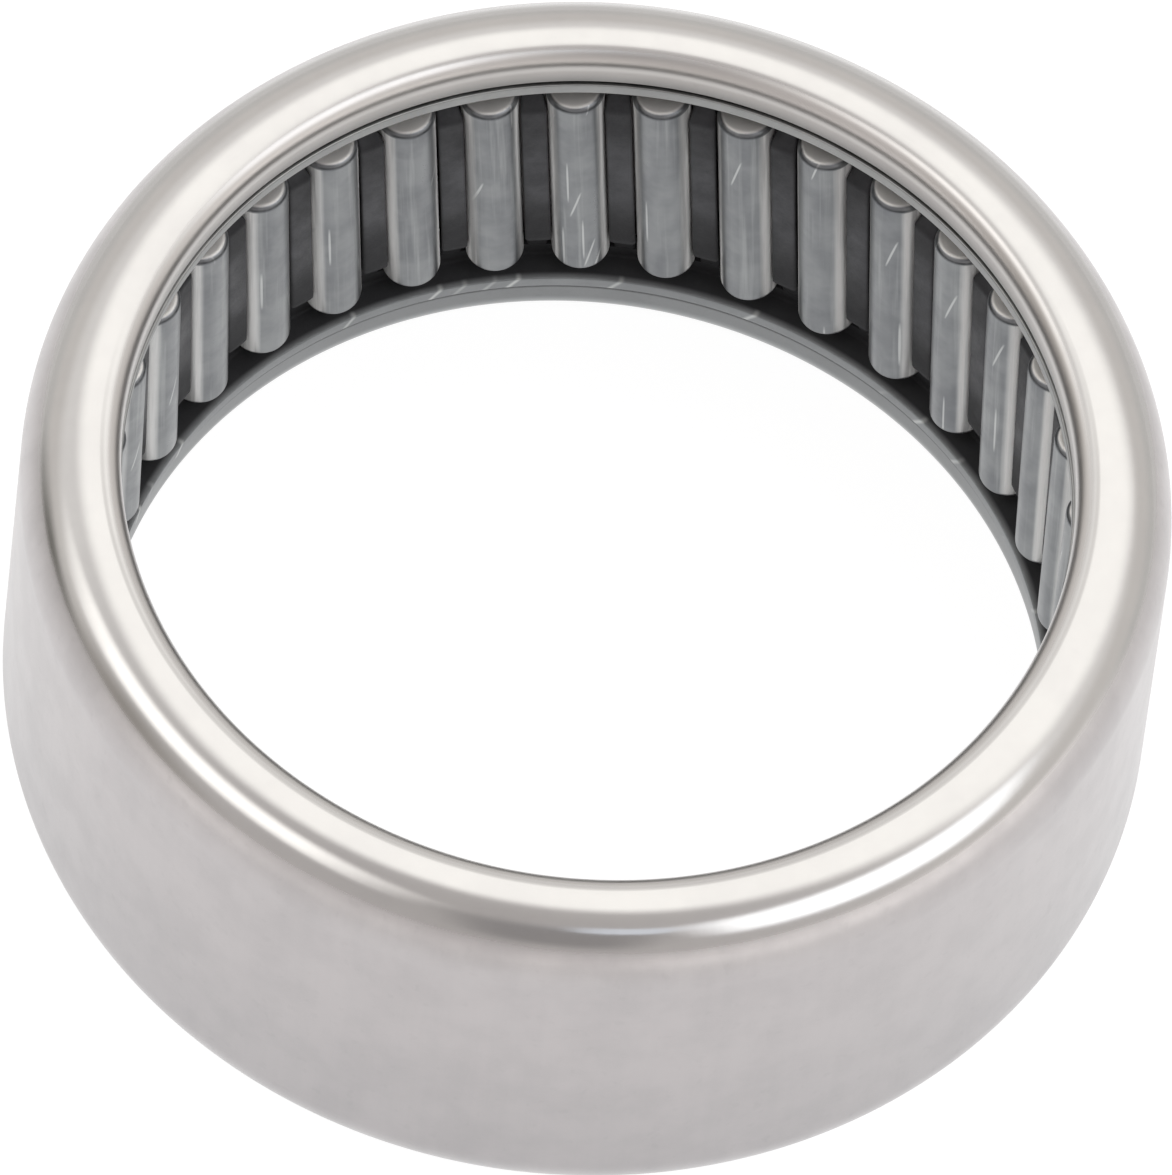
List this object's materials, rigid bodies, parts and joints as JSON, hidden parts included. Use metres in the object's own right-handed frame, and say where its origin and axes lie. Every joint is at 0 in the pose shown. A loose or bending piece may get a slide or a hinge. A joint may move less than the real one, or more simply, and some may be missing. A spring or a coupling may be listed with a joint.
{
  "type": "needle roller bearing",
  "caption": "Drawn-cup needle roller bearing: a round steel cup with turned-in lips holds a sheet-steel cage and slim rollers round an open shaft bore.",
  "frame": {"origin": "centre of the bearing, on its axis, halfway between its two end faces", "axes": "+Z along the bearing's axis towards the upper end face; +Y through the middle of roller_01; the rollers are numbered clockwise seen from +Z"},
  "size_m": [0.039, 0.039, 0.016],
  "materials": {
    "cup_steel": "satin drawn steel, polished over the rolled rims",
    "cage_steel": "dull pressed sheet steel, brighter on the bores of its flanges",
    "roller_steel": "ground and tumbled bearing steel with fine lengthwise marks"
  },
  "bodies": {
    "cup": {"cup": "cup_steel"},
    "cage": {"cage": "cage_steel"},
    "roller_01": {"roller_01": "roller_steel"},
    "roller_02": {"roller_02": "roller_steel"},
    "roller_03": {"roller_03": "roller_steel"},
    "roller_04": {"roller_04": "roller_steel"},
    "roller_05": {"roller_05": "roller_steel"},
    "roller_06": {"roller_06": "roller_steel"},
    "roller_07": {"roller_07": "roller_steel"},
    "roller_08": {"roller_08": "roller_steel"},
    "roller_09": {"roller_09": "roller_steel"},
    "roller_10": {"roller_10": "roller_steel"},
    "roller_11": {"roller_11": "roller_steel"},
    "roller_12": {"roller_12": "roller_steel"},
    "roller_13": {"roller_13": "roller_steel"},
    "roller_14": {"roller_14": "roller_steel"},
    "roller_15": {"roller_15": "roller_steel"},
    "roller_16": {"roller_16": "roller_steel"},
    "roller_17": {"roller_17": "roller_steel"},
    "roller_18": {"roller_18": "roller_steel"},
    "roller_19": {"roller_19": "roller_steel"},
    "roller_20": {"roller_20": "roller_steel"},
    "roller_21": {"roller_21": "roller_steel"},
    "roller_22": {"roller_22": "roller_steel"},
    "roller_23": {"roller_23": "roller_steel"},
    "roller_24": {"roller_24": "roller_steel"},
    "roller_25": {"roller_25": "roller_steel"},
    "roller_26": {"roller_26": "roller_steel"},
    "roller_27": {"roller_27": "roller_steel"},
    "roller_28": {"roller_28": "roller_steel"},
    "roller_29": {"roller_29": "roller_steel"},
    "roller_30": {"roller_30": "roller_steel"},
    "roller_31": {"roller_31": "roller_steel"},
    "roller_32": {"roller_32": "roller_steel"},
    "roller_33": {"roller_33": "roller_steel"},
    "roller_34": {"roller_34": "roller_steel"},
    "roller_35": {"roller_35": "roller_steel"},
    "roller_36": {"roller_36": "roller_steel"}
  },
  "joints": [
    {"name": "cage_spin", "type": "hinge", "parent": "cup", "child": "cage", "pos_m": [0, 0, 0], "axis": [0, 0, 1], "continuous": true},
    {"name": "roller_01_spin", "type": "hinge", "parent": "cage", "child": "roller_01", "pos_m": [0, 0.017, 0], "axis": [-0.0828, 0, 0.9966], "continuous": true},
    {"name": "roller_02_spin", "type": "hinge", "parent": "cage", "child": "roller_02", "pos_m": [0.00295, 0.01674, 0], "axis": [-0.0816, 0.0144, 0.9966], "continuous": true},
    {"name": "roller_03_spin", "type": "hinge", "parent": "cage", "child": "roller_03", "pos_m": [0.00581, 0.01597, 0], "axis": [-0.0778, 0.0283, 0.9966], "continuous": true},
    {"name": "roller_04_spin", "type": "hinge", "parent": "cage", "child": "roller_04", "pos_m": [0.0085, 0.01472, 0], "axis": [-0.0717, 0.0414, 0.9966], "continuous": true},
    {"name": "roller_05_spin", "type": "hinge", "parent": "cage", "child": "roller_05", "pos_m": [0.01093, 0.01302, 0], "axis": [-0.0634, 0.0532, 0.9966], "continuous": true},
    {"name": "roller_06_spin", "type": "hinge", "parent": "cage", "child": "roller_06", "pos_m": [0.01302, 0.01093, 0], "axis": [-0.0532, 0.0634, 0.9966], "continuous": true},
    {"name": "roller_07_spin", "type": "hinge", "parent": "cage", "child": "roller_07", "pos_m": [0.01472, 0.0085, 0], "axis": [-0.0414, 0.0717, 0.9966], "continuous": true},
    {"name": "roller_08_spin", "type": "hinge", "parent": "cage", "child": "roller_08", "pos_m": [0.01597, 0.00581, 0], "axis": [-0.0283, 0.0778, 0.9966], "continuous": true},
    {"name": "roller_09_spin", "type": "hinge", "parent": "cage", "child": "roller_09", "pos_m": [0.01674, 0.00295, 0], "axis": [-0.0144, 0.0816, 0.9966], "continuous": true},
    {"name": "roller_10_spin", "type": "hinge", "parent": "cage", "child": "roller_10", "pos_m": [0.017, 0, 0], "axis": [0, 0.0828, 0.9966], "continuous": true},
    {"name": "roller_11_spin", "type": "hinge", "parent": "cage", "child": "roller_11", "pos_m": [0.01674, -0.00295, 0], "axis": [0.0144, 0.0816, 0.9966], "continuous": true},
    {"name": "roller_12_spin", "type": "hinge", "parent": "cage", "child": "roller_12", "pos_m": [0.01597, -0.00581, 0], "axis": [0.0283, 0.0778, 0.9966], "continuous": true},
    {"name": "roller_13_spin", "type": "hinge", "parent": "cage", "child": "roller_13", "pos_m": [0.01472, -0.0085, 0], "axis": [0.0414, 0.0717, 0.9966], "continuous": true},
    {"name": "roller_14_spin", "type": "hinge", "parent": "cage", "child": "roller_14", "pos_m": [0.01302, -0.01093, 0], "axis": [0.0532, 0.0634, 0.9966], "continuous": true},
    {"name": "roller_15_spin", "type": "hinge", "parent": "cage", "child": "roller_15", "pos_m": [0.01093, -0.01302, 0], "axis": [0.0634, 0.0532, 0.9966], "continuous": true},
    {"name": "roller_16_spin", "type": "hinge", "parent": "cage", "child": "roller_16", "pos_m": [0.0085, -0.01472, 0], "axis": [0.0717, 0.0414, 0.9966], "continuous": true},
    {"name": "roller_17_spin", "type": "hinge", "parent": "cage", "child": "roller_17", "pos_m": [0.00581, -0.01597, 0], "axis": [0.0778, 0.0283, 0.9966], "continuous": true},
    {"name": "roller_18_spin", "type": "hinge", "parent": "cage", "child": "roller_18", "pos_m": [0.00295, -0.01674, 0], "axis": [0.0816, 0.0144, 0.9966], "continuous": true},
    {"name": "roller_19_spin", "type": "hinge", "parent": "cage", "child": "roller_19", "pos_m": [0, -0.017, 0], "axis": [0.0828, 0, 0.9966], "continuous": true},
    {"name": "roller_20_spin", "type": "hinge", "parent": "cage", "child": "roller_20", "pos_m": [-0.00295, -0.01674, 0], "axis": [0.0816, -0.0144, 0.9966], "continuous": true},
    {"name": "roller_21_spin", "type": "hinge", "parent": "cage", "child": "roller_21", "pos_m": [-0.00581, -0.01597, 0], "axis": [0.0778, -0.0283, 0.9966], "continuous": true},
    {"name": "roller_22_spin", "type": "hinge", "parent": "cage", "child": "roller_22", "pos_m": [-0.0085, -0.01472, 0], "axis": [0.0717, -0.0414, 0.9966], "continuous": true},
    {"name": "roller_23_spin", "type": "hinge", "parent": "cage", "child": "roller_23", "pos_m": [-0.01093, -0.01302, 0], "axis": [0.0634, -0.0532, 0.9966], "continuous": true},
    {"name": "roller_24_spin", "type": "hinge", "parent": "cage", "child": "roller_24", "pos_m": [-0.01302, -0.01093, 0], "axis": [0.0532, -0.0634, 0.9966], "continuous": true},
    {"name": "roller_25_spin", "type": "hinge", "parent": "cage", "child": "roller_25", "pos_m": [-0.01472, -0.0085, 0], "axis": [0.0414, -0.0717, 0.9966], "continuous": true},
    {"name": "roller_26_spin", "type": "hinge", "parent": "cage", "child": "roller_26", "pos_m": [-0.01597, -0.00581, 0], "axis": [0.0283, -0.0778, 0.9966], "continuous": true},
    {"name": "roller_27_spin", "type": "hinge", "parent": "cage", "child": "roller_27", "pos_m": [-0.01674, -0.00295, 0], "axis": [0.0144, -0.0816, 0.9966], "continuous": true},
    {"name": "roller_28_spin", "type": "hinge", "parent": "cage", "child": "roller_28", "pos_m": [-0.017, 0, 0], "axis": [0, -0.0828, 0.9966], "continuous": true},
    {"name": "roller_29_spin", "type": "hinge", "parent": "cage", "child": "roller_29", "pos_m": [-0.01674, 0.00295, 0], "axis": [-0.0144, -0.0816, 0.9966], "continuous": true},
    {"name": "roller_30_spin", "type": "hinge", "parent": "cage", "child": "roller_30", "pos_m": [-0.01597, 0.00581, 0], "axis": [-0.0283, -0.0778, 0.9966], "continuous": true},
    {"name": "roller_31_spin", "type": "hinge", "parent": "cage", "child": "roller_31", "pos_m": [-0.01472, 0.0085, 0], "axis": [-0.0414, -0.0717, 0.9966], "continuous": true},
    {"name": "roller_32_spin", "type": "hinge", "parent": "cage", "child": "roller_32", "pos_m": [-0.01302, 0.01093, 0], "axis": [-0.0532, -0.0634, 0.9966], "continuous": true},
    {"name": "roller_33_spin", "type": "hinge", "parent": "cage", "child": "roller_33", "pos_m": [-0.01093, 0.01302, 0], "axis": [-0.0634, -0.0532, 0.9966], "continuous": true},
    {"name": "roller_34_spin", "type": "hinge", "parent": "cage", "child": "roller_34", "pos_m": [-0.0085, 0.01472, 0], "axis": [-0.0717, -0.0414, 0.9966], "continuous": true},
    {"name": "roller_35_spin", "type": "hinge", "parent": "cage", "child": "roller_35", "pos_m": [-0.00581, 0.01597, 0], "axis": [-0.0778, -0.0283, 0.9966], "continuous": true},
    {"name": "roller_36_spin", "type": "hinge", "parent": "cage", "child": "roller_36", "pos_m": [-0.00295, 0.01674, 0], "axis": [-0.0816, -0.0144, 0.9966], "continuous": true}
  ],
  "couplings": [
    {"joint": "roller_01_spin", "follows": "cage_spin", "ratio": -18},
    {"joint": "roller_02_spin", "follows": "cage_spin", "ratio": -18},
    {"joint": "roller_03_spin", "follows": "cage_spin", "ratio": -18},
    {"joint": "roller_04_spin", "follows": "cage_spin", "ratio": -18},
    {"joint": "roller_05_spin", "follows": "cage_spin", "ratio": -18},
    {"joint": "roller_06_spin", "follows": "cage_spin", "ratio": -18},
    {"joint": "roller_07_spin", "follows": "cage_spin", "ratio": -18},
    {"joint": "roller_08_spin", "follows": "cage_spin", "ratio": -18},
    {"joint": "roller_09_spin", "follows": "cage_spin", "ratio": -18},
    {"joint": "roller_10_spin", "follows": "cage_spin", "ratio": -18},
    {"joint": "roller_11_spin", "follows": "cage_spin", "ratio": -18},
    {"joint": "roller_12_spin", "follows": "cage_spin", "ratio": -18},
    {"joint": "roller_13_spin", "follows": "cage_spin", "ratio": -18},
    {"joint": "roller_14_spin", "follows": "cage_spin", "ratio": -18},
    {"joint": "roller_15_spin", "follows": "cage_spin", "ratio": -18},
    {"joint": "roller_16_spin", "follows": "cage_spin", "ratio": -18},
    {"joint": "roller_17_spin", "follows": "cage_spin", "ratio": -18},
    {"joint": "roller_18_spin", "follows": "cage_spin", "ratio": -18},
    {"joint": "roller_19_spin", "follows": "cage_spin", "ratio": -18},
    {"joint": "roller_20_spin", "follows": "cage_spin", "ratio": -18},
    {"joint": "roller_21_spin", "follows": "cage_spin", "ratio": -18},
    {"joint": "roller_22_spin", "follows": "cage_spin", "ratio": -18},
    {"joint": "roller_23_spin", "follows": "cage_spin", "ratio": -18},
    {"joint": "roller_24_spin", "follows": "cage_spin", "ratio": -18},
    {"joint": "roller_25_spin", "follows": "cage_spin", "ratio": -18},
    {"joint": "roller_26_spin", "follows": "cage_spin", "ratio": -18},
    {"joint": "roller_27_spin", "follows": "cage_spin", "ratio": -18},
    {"joint": "roller_28_spin", "follows": "cage_spin", "ratio": -18},
    {"joint": "roller_29_spin", "follows": "cage_spin", "ratio": -18},
    {"joint": "roller_30_spin", "follows": "cage_spin", "ratio": -18},
    {"joint": "roller_31_spin", "follows": "cage_spin", "ratio": -18},
    {"joint": "roller_32_spin", "follows": "cage_spin", "ratio": -18},
    {"joint": "roller_33_spin", "follows": "cage_spin", "ratio": -18},
    {"joint": "roller_34_spin", "follows": "cage_spin", "ratio": -18},
    {"joint": "roller_35_spin", "follows": "cage_spin", "ratio": -18},
    {"joint": "roller_36_spin", "follows": "cage_spin", "ratio": -18}
  ]
}
